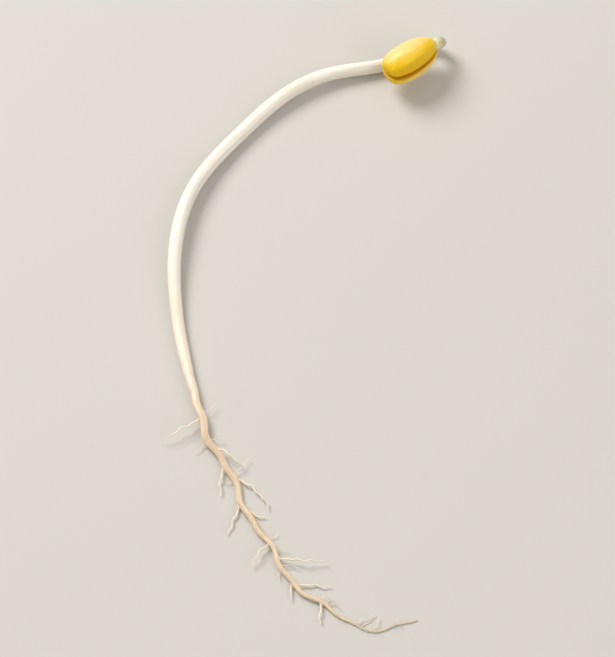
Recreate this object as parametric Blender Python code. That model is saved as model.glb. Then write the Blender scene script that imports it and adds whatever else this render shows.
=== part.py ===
"""A soybean sprout lying on a level surface.

The long white stem arches across the surface and ends in a hook, which folds the two
yellow seed leaves back over it. Between the seed leaves sits the bud of the first true
leaves. At the other end the stem passes into a thin root with side rootlets.
Everything is in metres, +Z up, with the surface at z = 0.
"""

import math
import random

import bmesh
import bpy
import numpy as np
from mathutils import Matrix, Vector

MM = 0.001

# Route of stem and root on the surface, from the start of the hook to the root's tip.
STEM_ROUTE = (
    (20.7, 54.0), (13.6, 50.7), (4.0, 48.3), (-3.9, 43.8), (-10.7, 36.9), (-17.9, 26.8),
    (-21.0, 15.5), (-20.9, 4.5), (-18.4, -9.4), (-15.2, -20.0),
)
ROOT_ROUTE = ((-10.9, -28.9), (-7.0, -37.0), (-2.2, -44.9), (3.8, -50.6), (10.8, -53.4), (17.6, -52.2))
STEM_LENGTH = 86.0 * MM
WAVES = ((0.42 * MM, 14.5 * MM), (0.2 * MM, 6.3 * MM))

# Radius along the route, as (distance from the hook, radius).
NECK_RADIUS = 0.88 * MM
STEM_RADII = ((0.0, 0.94), (10.0, 1.08), (36.0, 1.2), (58.0, 1.12), (80.0, 0.92), (86.0, 0.82))
ROOT_RADII = ((86.0, 0.77), (92.0, 0.62), (106.0, 0.5), (124.0, 0.39), (143.0, 0.3))

# Resting: stretches of the route that touch the surface, and the lift between them.
TOUCHES = ((0.0, 6.0), (36.0, 36.0), (79.0, 79.0), (108.0, 108.0), (141.0, 150.0))
LIFTS = (0.7 * MM, 1.1 * MM, 0.45 * MM, 0.3 * MM)
FLAT_DEPTH = 0.06 * MM
ROOT_FLAT_DEPTH = 0.04 * MM

# The hook, half an ellipse that leans towards -Y from upright, and the neck past it.
HOOK_RISE = 2.15 * MM
HOOK_REACH = 1.5 * MM
HOOK_LEAN = math.radians(30.0)
NECK_LENGTH = 0.8 * MM

# The seed leaves together make the bean.
BEAN_LENGTH = 10.1 * MM
BEAN_WIDTH = 5.8 * MM
BEAN_HEADING = math.radians(216.5)
BEAN_ROLL = math.radians(41.0)
LEAF_THICKNESS = 2.86 * MM
LEAF_EDGE_RADIUS = 0.3 * MM
LEAF_GAP = 0.2 * MM
LEAF_OPENING = math.radians(1.3)
LEAF_TAPER = 0.15
LEAF_BLUNTNESS = (0.95, 0.62)
SOCKET_RADIUS = 0.98 * MM
JOIN_GAP = 0.1 * MM

# The bud of first leaves, and the bed that it lies in.
BUD_LENGTH = 2.7 * MM
BUD_WIDTH = 1.15 * MM
BUD_LEAF_THICKNESS = 0.46 * MM
BUD_LEAF_OFFSET = 0.17 * MM
BUD_LEAF_START = 0.24
BUD_LEAF_POINT = 0.35
BUD_STALK_RADIUS = 0.22 * MM
BED_HALF_LENGTH = 2.0 * MM
BED_CENTRE = 2.5 * MM
BED_HEIGHT = 0.7 * MM
BED_HALF_WIDTH = 0.95 * MM

# Side rootlets, placed along the root by a seeded rule.
ROOTLETS = 11
ROOTLET_SEED = 5
ROOTLET_FIRST = 91.0 * MM
ROOTLET_LAST = 134.0 * MM
ROOTLET_RADIUS = 0.3 * MM
ROOTLET_TIP_RADIUS = 0.24 * MM
ROOTLET_LENGTHS = (3.0 * MM, 10.0 * MM)
ROOTLET_SHORTENING = 0.4
ROOTLET_ANGLES = (math.radians(35.0), math.radians(85.0))
ROOTLET_BENDS = (math.radians(-60.0), math.radians(25.0))
ROOTLET_CLIMB = 0.14
ROOTLET_FLOOR = 0.06 * MM

SURFACE_BLOCK = (100.0 * MM, 200.0 * MM, 4.0 * MM)

STEM_STEP = 1.25 * MM
HOOK_STEPS = 12
ROOT_STEP = 1.3 * MM
ROOTLET_POINTS = 7


def clear_scene():
    for thing in list(bpy.data.objects):
        bpy.data.objects.remove(thing, do_unlink=True)


def collection(name):
    made = bpy.data.collections.new(name)
    bpy.context.scene.collection.children.link(made)
    return made


def material(name, colour, roughness):
    made = bpy.data.materials.new(name)
    made.use_nodes = True
    shader = made.node_tree.nodes["Principled BSDF"]
    shader.inputs["Base Color"].default_value = (*colour, 1.0)
    shader.inputs["Roughness"].default_value = roughness
    shader.inputs["Metallic"].default_value = 0.0
    return made


def smoothstep(t):
    t = np.clip(t, 0.0, 1.0)
    return t * t * (3.0 - 2.0 * t)


def eased(table, s):
    """The value at distance s of a table of (distance, value) in mm, eased from row to row."""
    stations, values = (np.array(column) * MM for column in zip(*table))
    row = np.clip(np.searchsorted(stations, s, side="right") - 1, 0, len(stations) - 2)
    share = smoothstep((s - stations[row]) / (stations[row + 1] - stations[row]))
    return values[row] + (values[row + 1] - values[row]) * share


class Route:
    """A natural cubic spline through plan points, read by the distance along it."""

    def __init__(self, points):
        self.points = np.array(points) * MM
        self.knots = np.concatenate(
            [[0.0], np.cumsum(np.linalg.norm(np.diff(self.points, axis=0), axis=1))]
        )
        self.bends = self._bends()
        fine = np.linspace(0.0, self.knots[-1], 1500)
        steps = np.linalg.norm(np.diff(self._at(fine), axis=0), axis=1)
        self.fine = fine
        self.distance = np.concatenate([[0.0], np.cumsum(steps)])
        self.length = self.distance[-1]

    def _bends(self):
        """Second derivatives at the knots, zero at both ends."""
        h = np.diff(self.knots)
        n = len(self.knots)
        system = np.eye(n)
        right = np.zeros((n, 2))
        slopes = np.diff(self.points, axis=0) / h[:, None]
        for i in range(1, n - 1):
            system[i, i - 1 : i + 2] = h[i - 1], 2.0 * (h[i - 1] + h[i]), h[i]
            right[i] = 6.0 * (slopes[i] - slopes[i - 1])
        return np.linalg.solve(system, right)

    def _at(self, t):
        i = np.clip(np.searchsorted(self.knots, t, side="right") - 1, 0, len(self.knots) - 2)
        h = (self.knots[i + 1] - self.knots[i])[:, None]
        b = (t - self.knots[i])[:, None] / h
        a = 1.0 - b
        straight = a * self.points[i] + b * self.points[i + 1]
        bent = ((a**3 - a) * self.bends[i] + (b**3 - b) * self.bends[i + 1]) * h**2 / 6.0
        return straight + bent

    def at(self, s):
        """Plan points and unit headings at distances s."""
        step = 0.05 * MM
        t = np.interp(s, self.distance, self.fine)
        before = self._at(np.interp(s - step, self.distance, self.fine))
        after = self._at(np.interp(s + step, self.distance, self.fine))
        heading = after - before
        return self._at(t), heading / np.linalg.norm(heading, axis=1)[:, None]


def lift(s):
    """Height of the underside over the surface: zero where it touches, a sine hump between."""
    height = np.zeros_like(s)
    for (_, start), (end, _), top in zip(TOUCHES, TOUCHES[1:], LIFTS):
        start, end = start * MM, end * MM
        between = (s > start) & (s < end)
        height[between] = top * np.sin(np.pi * (s[between] - start) / (end - start)) ** 2
    return height


def laid(route, s, radius):
    """Centre points of a tube of this radius that lies along the route."""
    plan, heading = route.at(s)
    sideways = np.stack([-heading[:, 1], heading[:, 0]], axis=1)
    past = np.maximum(s - STEM_LENGTH, 0.0)
    for height, length in WAVES:
        wave = height * smoothstep(past / length) * np.sin(2.0 * np.pi * past / length)
        plan = plan + sideways * wave[:, None]
    stem_share = smoothstep((STEM_LENGTH - s) / (3.0 * MM))
    sunk = ROOT_FLAT_DEPTH + (FLAT_DEPTH - ROOT_FLAT_DEPTH) * stem_share
    return np.column_stack([plan, radius - sunk + lift(s)])


def hook_frame(route):
    """The hook's start, the stem's heading there and the direction that the hook leans to."""
    start = laid(route, np.zeros(1), np.array([STEM_RADII[0][1] * MM]))[0]
    heading = -np.append(route.at(np.zeros(1))[1][0], 0.0)
    lean = np.array([0.0, -math.sin(HOOK_LEAN), math.cos(HOOK_LEAN)])
    lean -= heading * lean.dot(heading)
    return start, heading, lean / np.linalg.norm(lean)


def hook_points(route):
    """The neck's two points, then the half turn back to just before the route starts."""
    start, heading, lean = hook_frame(route)
    angle = np.linspace(math.pi, 0.0, HOOK_STEPS + 1)[:-1, None]
    turn = HOOK_REACH * np.sin(angle) * heading + HOOK_RISE * (1.0 - np.cos(angle)) * lean
    along = np.array([math.cos(BEAN_HEADING), math.sin(BEAN_HEADING), 0.0])
    neck = start + 2.0 * HOOK_RISE * lean + np.outer([NECK_LENGTH, NECK_LENGTH / 2.0], along)
    return np.concatenate([neck, start + turn])


def tube(name, points, radii, sides):
    """A closed round tube through the points, as a mesh with its caps welded on."""
    curve = bpy.data.curves.new(name, "CURVE")
    curve.dimensions = "3D"
    curve.twist_mode = "MINIMUM"
    curve.bevel_depth = 1.0
    curve.bevel_resolution = (sides - 4) // 2
    curve.use_fill_caps = True
    spline = curve.splines.new("POLY")
    spline.points.add(len(points) - 1)
    for point, place, radius in zip(spline.points, points, radii):
        point.co = (*place, 1.0)
        point.radius = radius
    path = bpy.data.objects.new(name + "_path", curve)
    bpy.context.scene.collection.objects.link(path)
    graph = bpy.context.evaluated_depsgraph_get()
    mesh = bpy.data.meshes.new_from_object(path.evaluated_get(graph))
    made = bpy.data.objects.new(name, mesh)
    made.matrix_world = path.matrix_world
    bpy.data.objects.remove(path, do_unlink=True)
    bpy.data.curves.remove(curve)
    form = bmesh.new()
    form.from_mesh(mesh)
    bmesh.ops.remove_doubles(form, verts=form.verts, dist=0.0001 * MM)
    bmesh.ops.recalc_face_normals(form, faces=form.faces)
    form.to_mesh(mesh)
    form.free()
    return made


def apply_modifiers(thing):
    graph = bpy.context.evaluated_depsgraph_get()
    mesh = bpy.data.meshes.new_from_object(thing.evaluated_get(graph))
    thing.modifiers.clear()
    thing.data = mesh


def fuse(thing, branches):
    """Joins the branches to the thing by one union, then removes them."""
    group = collection(thing.name + "_branches")
    for branch in branches:
        group.objects.link(branch)
    union = thing.modifiers.new("branches", "BOOLEAN")
    union.operation = "UNION"
    union.operand_type = "COLLECTION"
    union.collection = group
    apply_modifiers(thing)
    for branch in branches:
        bpy.data.objects.remove(branch, do_unlink=True)
    bpy.data.collections.remove(group)


def cut(thing, cutter):
    """Takes the cutter's space out of the thing; the cutter stays as a hidden guide."""
    cutter.hide_render = True
    cutter.display_type = "WIRE"
    difference = thing.modifiers.new("cut by " + cutter.name, "BOOLEAN")
    difference.operation = "DIFFERENCE"
    difference.object = cutter


def finish(thing, look):
    """One material, and smooth shading with its real edges kept."""
    thing.data.materials.clear()
    thing.data.materials.append(look)
    thing.data.shade_smooth()
    thing.data.set_sharp_from_angle(angle=math.radians(50.0))


def surface_cutter(guides):
    """A block whose top is the surface that the sprout lies on."""
    form = bmesh.new()
    bmesh.ops.create_cube(form, size=1.0)
    bmesh.ops.scale(form, vec=SURFACE_BLOCK, verts=form.verts)
    bmesh.ops.translate(form, vec=(0.0, 0.0, -SURFACE_BLOCK[2] / 2.0), verts=form.verts)
    return guide("surface", form, Matrix.Identity(4), guides)


def hypocotyl(route, parts, surface, look):
    """The white stem: the hook, then the route down to the collar, trimmed flat where it rests."""
    count = round(STEM_LENGTH / STEM_STEP)
    s = np.linspace(0.0, STEM_LENGTH - JOIN_GAP / 2.0, count)
    radii = eased(STEM_RADII, s)
    hook = hook_points(route)
    swell = np.linspace(0.0, 1.0, len(hook) + 1)[:-1]
    hook_radii = NECK_RADIUS + (radii[0] - NECK_RADIUS) * smoothstep(swell)
    points = np.concatenate([hook, laid(route, s, radii)])
    stem = tube("hypocotyl", points, np.concatenate([hook_radii, radii]), sides=14)
    parts.objects.link(stem)
    cut(stem, surface)
    apply_modifiers(stem)
    finish(stem, look)
    return stem


def rootlet(route, index, draw):
    """A side rootlet: it starts inside the root, swings out and bends to the root's heading."""
    share = (index + draw.random()) / ROOTLETS
    s = np.array([ROOTLET_FIRST + (ROOTLET_LAST - ROOTLET_FIRST) * share])
    root_radius = eased(ROOT_RADII, s)
    start = laid(route, s, root_radius)[0]
    heading = route.at(s)[1][0]
    side = 1.0 if index % 2 else -1.0
    turn = side * draw.uniform(*ROOTLET_ANGLES)
    bend = side * draw.uniform(*ROOTLET_BENDS)
    climb = draw.uniform(0.0, ROOTLET_CLIMB)
    shortest, longest = ROOTLET_LENGTHS
    spare = (longest - shortest) * (1.0 - ROOTLET_SHORTENING * share)
    length = shortest + spare * draw.random() ** 1.4
    t = np.linspace(0.0, 1.0, ROOTLET_POINTS)
    angle = math.atan2(heading[1], heading[0]) + turn + bend * t
    step = length / (ROOTLET_POINTS - 1)
    x = start[0] + np.concatenate([[0.0], np.cumsum(np.cos(angle[:-1]))]) * step
    y = start[1] + np.concatenate([[0.0], np.cumsum(np.sin(angle[:-1]))]) * step
    hump = climb * length * np.sin(0.9 * np.pi * t)
    radii = ROOTLET_RADIUS + (ROOTLET_TIP_RADIUS - ROOTLET_RADIUS) * t
    z = np.maximum(start[2] + hump, radii + ROOTLET_FLOOR)
    return tube(f"rootlet_{index}", np.column_stack([x, y, z]), radii, sides=8)


def root(route, parts, surface, look):
    """The beige root, with its side rootlets fused to it, trimmed flat where it rests."""
    start = STEM_LENGTH + JOIN_GAP / 2.0
    s = np.linspace(start, route.length, round((route.length - start) / ROOT_STEP))
    radii = eased(ROOT_RADII, s)
    made = tube("root", laid(route, s, radii), radii, sides=10)
    parts.objects.link(made)
    draw = random.Random(ROOTLET_SEED)
    fuse(made, [rootlet(route, index, draw) for index in range(ROOTLETS)])
    cut(made, surface)
    apply_modifiers(made)
    finish(made, look)
    return made


def bean_place(route):
    """Matrix of the bean: its base at the hook's end, X to its free end, Z out of the upper leaf."""
    start, _, lean = hook_frame(route)
    along = Vector((math.cos(BEAN_HEADING), math.sin(BEAN_HEADING), 0.0))
    up = Vector(lean) - along * Vector(lean).dot(along)
    up.normalize()
    outward = Matrix.Rotation(BEAN_ROLL, 3, along) @ up
    across = outward.cross(along)
    turn = Matrix((along, across, outward)).transposed().to_4x4()
    return Matrix.Translation(Vector(start + 2.0 * HOOK_RISE * lean)) @ turn


def seed_leaf_mesh(name):
    """A ball drawn out into a plump half bean, flat inside.

    Outside, the height is the leaf's thickness times the ball's height. Inside, the
    section is a superellipse of fifth power, which is flat with a small round edge.
    The ends are blunt, because the ball's ring radius is raised to a power below one.
    """
    mesh = bpy.data.meshes.new(name)
    form = bmesh.new()
    bmesh.ops.create_uvsphere(form, u_segments=28, v_segments=20, radius=1.0)
    edge = LEAF_GAP / 2.0 + LEAF_EDGE_RADIUS
    for vert in form.verts:
        along, around_y, around_z = vert.co.z, vert.co.y, vert.co.x
        ring = math.hypot(around_y, around_z)
        cosine, sine = (around_y / ring, around_z / ring) if ring > 1e-6 else (0.0, 0.0)
        at_base, at_end = LEAF_BLUNTNESS
        ring = ring ** (at_base + (at_end - at_base) * (1.0 + along) / 2.0)
        half_width = BEAN_WIDTH / 2.0 * ring * (1.0 + LEAF_TAPER * along)
        if sine >= 0.0:
            y = half_width * cosine
            z = edge + (LEAF_THICKNESS - LEAF_EDGE_RADIUS) * ring * sine
        else:
            y = half_width * math.copysign(abs(cosine) ** 0.4, cosine)
            z = edge - LEAF_EDGE_RADIUS * abs(sine) ** 0.4 * ring**0.4
        vert.co = (BEAN_LENGTH / 2.0 * (1.0 + along), y, z)
    bmesh.ops.recalc_face_normals(form, faces=form.faces)
    form.to_mesh(mesh)
    form.free()
    return mesh


def guide(name, form, place, guides):
    mesh = bpy.data.meshes.new(name)
    form.to_mesh(mesh)
    form.free()
    made = bpy.data.objects.new(name, mesh)
    made.matrix_world = place
    guides.objects.link(made)
    return made


def bed_cutter(place, guides):
    """A long ball that hollows both seed leaves for the bud between them."""
    form = bmesh.new()
    bmesh.ops.create_uvsphere(form, u_segments=20, v_segments=14, radius=1.0)
    bmesh.ops.rotate(form, matrix=Matrix.Rotation(math.pi / 2.0, 3, "Y"), verts=form.verts)
    bmesh.ops.scale(form, vec=(BED_HALF_LENGTH, BED_HALF_WIDTH, BED_HEIGHT), verts=form.verts)
    bmesh.ops.translate(form, vec=(BED_CENTRE, 0.0, 0.0), verts=form.verts)
    return guide("bud_bed", form, place, guides)


def socket_cutter(place, guides):
    """A round plug that opens the base of the bean for the neck."""
    depth = NECK_LENGTH + JOIN_GAP
    form = bmesh.new()
    bmesh.ops.create_cone(
        form, cap_ends=True, segments=24, depth=2.0 * depth, radius1=SOCKET_RADIUS, radius2=SOCKET_RADIUS
    )
    bmesh.ops.rotate(form, matrix=Matrix.Rotation(math.pi / 2.0, 3, "Y"), verts=form.verts)
    return guide("neck_socket", form, place, guides)


def seed_leaf(name, place, half_turn, cutters, parts, look):
    """One seed leaf, opened a little from the other about the bean's base."""
    leaf = bpy.data.objects.new(name, seed_leaf_mesh(name))
    opening = Matrix.Rotation(-LEAF_OPENING, 4, "Y")
    leaf.matrix_world = place @ Matrix.Rotation(half_turn, 4, "X") @ opening
    parts.objects.link(leaf)
    for cutter in cutters:
        cut(leaf, cutter)
    apply_modifiers(leaf)
    finish(leaf, look)
    return leaf


def bud_leaf(name, side):
    """A small folded leaf: a ball flattened to a lens that narrows towards its free end."""
    mesh = bpy.data.meshes.new(name)
    form = bmesh.new()
    bmesh.ops.create_uvsphere(form, u_segments=14, v_segments=10, radius=1.0)
    for vert in form.verts:
        share = (1.0 + vert.co.z) / 2.0
        narrow = 1.0 - BUD_LEAF_POINT * smoothstep((share - 0.4) / 0.6)
        x = BUD_LENGTH * (BUD_LEAF_START + (1.0 - BUD_LEAF_START) * share)
        y = BUD_WIDTH / 2.0 * vert.co.y * narrow
        z = BUD_LEAF_THICKNESS / 2.0 * vert.co.x + side * BUD_LEAF_OFFSET
        vert.co = (x, y, z)
    bmesh.ops.recalc_face_normals(form, faces=form.faces)
    form.to_mesh(mesh)
    form.free()
    return bpy.data.objects.new(name, mesh)


def plumule(place, parts, look):
    """The bud of first leaves: a short stalk and two leaves folded face to face."""
    reach = np.linspace(0.0, BUD_LENGTH * 0.5, 4)
    points = np.column_stack([reach, np.zeros(4), np.zeros(4)])
    stalk = tube("plumule", points, np.full(4, BUD_STALK_RADIUS), sides=10)
    parts.objects.link(stalk)
    fuse(stalk, [bud_leaf("bud_leaf_a", 1.0), bud_leaf("bud_leaf_b", -1.0)])
    stalk.matrix_world = place @ Matrix.Translation((NECK_LENGTH + JOIN_GAP, 0.0, 0.0))
    finish(stalk, look)
    return stalk


def centre(things, guides):
    """Slides everything level, so that the box of the whole sprout stands over the origin."""
    bpy.context.view_layer.update()
    corners = np.array(
        [thing.matrix_world @ vert.co for thing in things for vert in thing.data.vertices]
    )
    middle = (corners.min(axis=0) + corners.max(axis=0)) / 2.0
    for thing in [*things, *guides]:
        thing.location -= Vector((middle[0], middle[1], 0.0))
    bpy.context.view_layer.update()


def main():
    clear_scene()
    parts = collection("soybean_sprout")
    guides = collection("guides")
    stem_look = material("stem", (0.92, 0.88, 0.78), 0.42)
    root_look = material("root", (0.80, 0.62, 0.40), 0.62)
    seed_leaf_look = material("seed_leaf", (0.88, 0.60, 0.05), 0.4)
    bud_look = material("bud", (0.72, 0.74, 0.26), 0.5)
    route = Route(STEM_ROUTE + ROOT_ROUTE)
    place = bean_place(route)
    hollows = [bed_cutter(place, guides), socket_cutter(place, guides)]
    surface = surface_cutter(guides)
    things = [
        hypocotyl(route, parts, surface, stem_look),
        root(route, parts, surface, root_look),
        seed_leaf("cotyledon_upper", place, 0.0, hollows, parts, seed_leaf_look),
        seed_leaf("cotyledon_lower", place, math.pi, hollows, parts, seed_leaf_look),
        plumule(place, parts, bud_look),
    ]
    centre(things, [*hollows, surface])


main()
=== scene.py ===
"""The looks of one soybean sprout that lies on a pale floor.

The shapes repeat the named sizes and formulas of the solids that they stand for, in
millimetres, and add what is too fine for those: the stem's ridges, the seed leaves'
wrinkles and rims, thin tapering rootlets and root hairs.
"""

import math
import random

import bpy
import numpy as np
from mathutils import Matrix, Vector


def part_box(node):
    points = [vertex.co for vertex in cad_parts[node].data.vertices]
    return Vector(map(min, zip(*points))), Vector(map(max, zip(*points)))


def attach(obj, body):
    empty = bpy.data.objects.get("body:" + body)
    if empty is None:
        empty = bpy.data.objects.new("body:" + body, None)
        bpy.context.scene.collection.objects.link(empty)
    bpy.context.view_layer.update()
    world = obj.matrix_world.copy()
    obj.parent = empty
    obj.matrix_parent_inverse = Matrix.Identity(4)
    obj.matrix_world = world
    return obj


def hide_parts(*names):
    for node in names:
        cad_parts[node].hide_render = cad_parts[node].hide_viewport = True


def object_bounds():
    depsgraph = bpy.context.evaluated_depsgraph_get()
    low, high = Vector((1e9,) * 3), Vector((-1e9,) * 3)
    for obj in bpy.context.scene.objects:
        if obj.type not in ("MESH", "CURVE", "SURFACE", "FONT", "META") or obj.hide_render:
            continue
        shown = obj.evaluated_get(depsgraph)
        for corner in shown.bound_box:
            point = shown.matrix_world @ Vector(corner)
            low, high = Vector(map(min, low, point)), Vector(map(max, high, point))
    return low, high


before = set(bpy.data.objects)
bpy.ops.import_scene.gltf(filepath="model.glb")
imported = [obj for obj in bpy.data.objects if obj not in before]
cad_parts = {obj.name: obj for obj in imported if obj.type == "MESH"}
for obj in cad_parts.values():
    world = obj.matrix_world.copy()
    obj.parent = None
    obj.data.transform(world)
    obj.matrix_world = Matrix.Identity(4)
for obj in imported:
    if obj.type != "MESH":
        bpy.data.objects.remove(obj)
cad_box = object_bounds()

MM = 0.001
UP = (0.0, 0.0, 1.0)

# Route of stem and root on the floor, from the start of the hook to the root's tip.
STEM_ROUTE = (
    (20.7, 54.0), (13.6, 50.7), (4.0, 48.3), (-3.9, 43.8), (-10.7, 36.9), (-17.9, 26.8),
    (-21.0, 15.5), (-20.9, 4.5), (-18.4, -9.4), (-15.2, -20.0),
)
ROOT_ROUTE = ((-10.9, -28.9), (-7.0, -37.0), (-2.2, -44.9), (3.8, -50.6), (10.8, -53.4), (17.6, -52.2))
STEM_LENGTH = 86.0
# Sideways waves of the root, as (height, length).
WAVES = ((0.42, 14.5), (0.2, 6.3))

# Radius along the route, as (distance from the hook, radius).
NECK_RADIUS = 0.88
STEM_RADII = ((0.0, 0.94), (10.0, 1.08), (36.0, 1.2), (58.0, 1.12), (80.0, 0.92), (86.0, 0.82))
ROOT_RADII = ((86.0, 0.77), (92.0, 0.62), (106.0, 0.5), (124.0, 0.39), (143.0, 0.3))
# Over the collar the stem tucks in by a share of its radius, and the root starts inside it.
COLLAR_LENGTH = 1.6
COLLAR_TUCK = 0.075
# Past this distance the dressed root gets thinner than the solid, by up to this share.
ROOT_THINNING_START = 122.0
ROOT_TIP_THINNING = 0.45

# Resting: stretches of the route that touch the floor, and the lift between them.
TOUCHES = ((0.0, 6.0), (36.0, 36.0), (79.0, 79.0), (108.0, 108.0), (141.0, 150.0))
LIFTS = (0.7, 1.1, 0.45, 0.3)
# Depth of the flats under stem and root, and the length over which one becomes the other.
FLAT_DEPTH = 0.06
ROOT_FLAT_DEPTH = 0.04
FLAT_CHANGE = 3.0
FLOOR_SOFTNESS = 0.02

# The hook, half an ellipse that leans towards -Y from upright, and the neck past it.
HOOK_RISE = 2.15
HOOK_REACH = 1.5
HOOK_LEAN = math.radians(30.0)
NECK_LENGTH = 0.8

# The seed leaves together make the bean.
BEAN_LENGTH = 10.1
BEAN_WIDTH = 5.8
BEAN_HEADING = math.radians(216.5)
BEAN_ALONG = (math.cos(BEAN_HEADING), math.sin(BEAN_HEADING), 0.0)
BEAN_ROLL = math.radians(41.0)
LEAF_THICKNESS = 2.86
LEAF_EDGE_RADIUS = 0.3
LEAF_GAP = 0.2
LEAF_OPENING = math.radians(1.3)
LEAF_TAPER = 0.15
LEAF_BLUNTNESS = (0.95, 0.62)
SOCKET_RADIUS = 0.98
SOCKET_DEPTH = 0.9
BED_HALF_LENGTH = 2.0
BED_CENTRE = 2.5
BED_HEIGHT = 0.7
BED_HALF_WIDTH = 0.95

# The bud of first leaves between the seed leaves.
BUD_LENGTH = 2.7
BUD_WIDTH = 1.15
BUD_LEAF_THICKNESS = 0.46
BUD_LEAF_OFFSET = 0.17
BUD_LEAF_START = 0.24
BUD_LEAF_POINT = 0.35
BUD_STALK_RADIUS = 0.22

# Side rootlets, placed along the root by the same seeded rule as the solids.
ROOTLETS = 11
ROOTLET_SEED = 5
ROOTLET_FIRST = 91.0
ROOTLET_LAST = 134.0
ROOTLET_RADIUS = 0.3
ROOTLET_TIP_RADIUS = 0.24
ROOTLET_LENGTHS = (3.0, 10.0)
ROOTLET_SHORTENING = 0.4
ROOTLET_ANGLES = (math.radians(35.0), math.radians(85.0))
ROOTLET_BENDS = (math.radians(-60.0), math.radians(25.0))
ROOTLET_CLIMB = 0.14
ROOTLET_FLOOR = 0.06
ROOTLET_POINTS = 7

# Spacing of a path's points, and how many samples measure a route.
PATH_STEP = 0.05
ROUTE_SAMPLES = 1500
# A grid's end row that is smaller than this counts as a point.
POINT_SIZE = 0.001


def smoothstep(t):
    """t^2 (3 - 2 t), with t held between 0 and 1."""
    t = np.clip(t, 0.0, 1.0)
    return t * t * (3.0 - 2.0 * t)


def faded(distance, start, length):
    """0 up to the start, 1 from a length past it, and smooth between."""
    return smoothstep((distance - start) / length)


def bell(x, width):
    """exp(-(x / width)^2)."""
    return np.exp(-((x / width) ** 2))


def unit(vectors):
    """The vectors' directions, at length 1."""
    return vectors / np.linalg.norm(vectors, axis=-1, keepdims=True)


def eased(table, s):
    """The value at distance s of a table of (distance, value), eased from row to row."""
    stations, values = (np.array(column) for column in zip(*table))
    row = np.clip(np.searchsorted(stations, s, side="right") - 1, 0, len(stations) - 2)
    share = smoothstep((s - stations[row]) / (stations[row + 1] - stations[row]))
    return values[row] + (values[row + 1] - values[row]) * share


def travelled(points):
    """The distance along a line of points to each of them."""
    steps = np.linalg.norm(np.diff(points, axis=0), axis=1)
    return np.concatenate([[0.0], np.cumsum(steps)])


def read_off(points, distances, s):
    """The places at distances s along a line of points."""
    return np.stack([np.interp(s, distances, column) for column in points.T], axis=1)


def level_side(heading):
    """Level directions, square to level headings."""
    return np.column_stack([-heading[:, 1], heading[:, 0], np.zeros(len(heading))])


class Route:
    """A natural cubic spline through points, read by the distance along it."""

    def __init__(self, points):
        self.points = np.array(points, float)
        self.knots = travelled(self.points)
        self.bends = self._bends()
        self.fine = np.linspace(0.0, self.knots[-1], ROUTE_SAMPLES)
        self.distance = travelled(self._at(self.fine))
        self.length = self.distance[-1]

    def _bends(self):
        """Second derivatives at the knots, zero at both ends."""
        h = np.diff(self.knots)
        n = len(self.knots)
        system = np.eye(n)
        inner = np.arange(1, n - 1)
        system[inner, inner - 1] = h[:-1]
        system[inner, inner] = 2.0 * (h[:-1] + h[1:])
        system[inner, inner + 1] = h[1:]
        right = np.zeros_like(self.points)
        right[1:-1] = 6.0 * np.diff(np.diff(self.points, axis=0) / h[:, None], axis=0)
        return np.linalg.solve(system, right)

    def _at(self, t):
        """Points at the spline's own parameter, the distance along straight lines between knots."""
        i = np.clip(np.searchsorted(self.knots, t, side="right") - 1, 0, len(self.knots) - 2)
        h = (self.knots[i + 1] - self.knots[i])[:, None]
        b = (t - self.knots[i])[:, None] / h
        a = 1.0 - b
        straight = a * self.points[i] + b * self.points[i + 1]
        return straight + ((a**3 - a) * self.bends[i] + (b**3 - b) * self.bends[i + 1]) * h**2 / 6.0

    def at(self, s):
        """Points and unit headings at distances s."""
        before = self._at(np.interp(s - PATH_STEP, self.distance, self.fine))
        after = self._at(np.interp(s + PATH_STEP, self.distance, self.fine))
        return self._at(np.interp(s, self.distance, self.fine)), unit(after - before)


def lift(s):
    """Height of the underside over the floor: zero where it touches, a sine hump between."""
    height = np.zeros_like(s)
    for (_, start), (end, _), top in zip(TOUCHES, TOUCHES[1:], LIFTS):
        between = (s > start) & (s < end)
        height[between] = top * np.sin(np.pi * (s[between] - start) / (end - start)) ** 2
    return height


def laid(route, s, radius):
    """Centre points of a tube of this radius that lies along the route, with the root's waves."""
    plan, heading = route.at(s)
    sideways = level_side(heading)[:, :2]
    past = np.maximum(s - STEM_LENGTH, 0.0)
    for height, length in WAVES:
        wave = height * smoothstep(past / length) * np.sin(2.0 * np.pi * past / length)
        plan = plan + sideways * wave[:, None]
    stem_share = smoothstep((STEM_LENGTH - s) / FLAT_CHANGE)
    sunk = ROOT_FLAT_DEPTH + (FLAT_DEPTH - ROOT_FLAT_DEPTH) * stem_share
    return np.column_stack([plan, radius - sunk + lift(s)])


def hook_frame(route):
    """The hook's start, the stem's heading there and the direction that the hook leans to."""
    start = laid(route, np.zeros(1), np.array([STEM_RADII[0][1]]))[0]
    heading = -np.append(route.at(np.zeros(1))[1][0], 0.0)
    lean = np.array([0.0, -math.sin(HOOK_LEAN), math.cos(HOOK_LEAN)])
    return start, heading, unit(lean - heading * lean.dot(heading))


def bean_place(route):
    """Matrix of the bean: its base at the hook's end, X to its free end, Z out of the upper leaf."""
    start, _, lean = hook_frame(route)
    along = Vector(BEAN_ALONG)
    up = Vector(lean) - along * Vector(lean).dot(along)
    up.normalize()
    outward = Matrix.Rotation(BEAN_ROLL, 3, along) @ up
    across = outward.cross(along)
    turn = Matrix((along, across, outward)).transposed().to_4x4()
    return Matrix.Translation(Vector(start + 2.0 * HOOK_RISE * lean)) @ turn


def moved(matrix, points):
    """The points of a grid, moved by a 4 x 4 matrix."""
    return points @ np.array(matrix.to_3x3()).T + np.array(matrix.translation)


def spread(start, end, count, ends=0.7):
    """Stations from start to end, closer together at both ends: u - ends sin(2 pi u) / (2 pi)."""
    u = np.linspace(0.0, 1.0, count)
    return start + (end - start) * (u - ends * np.sin(2.0 * np.pi * u) / (2.0 * np.pi))


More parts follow.
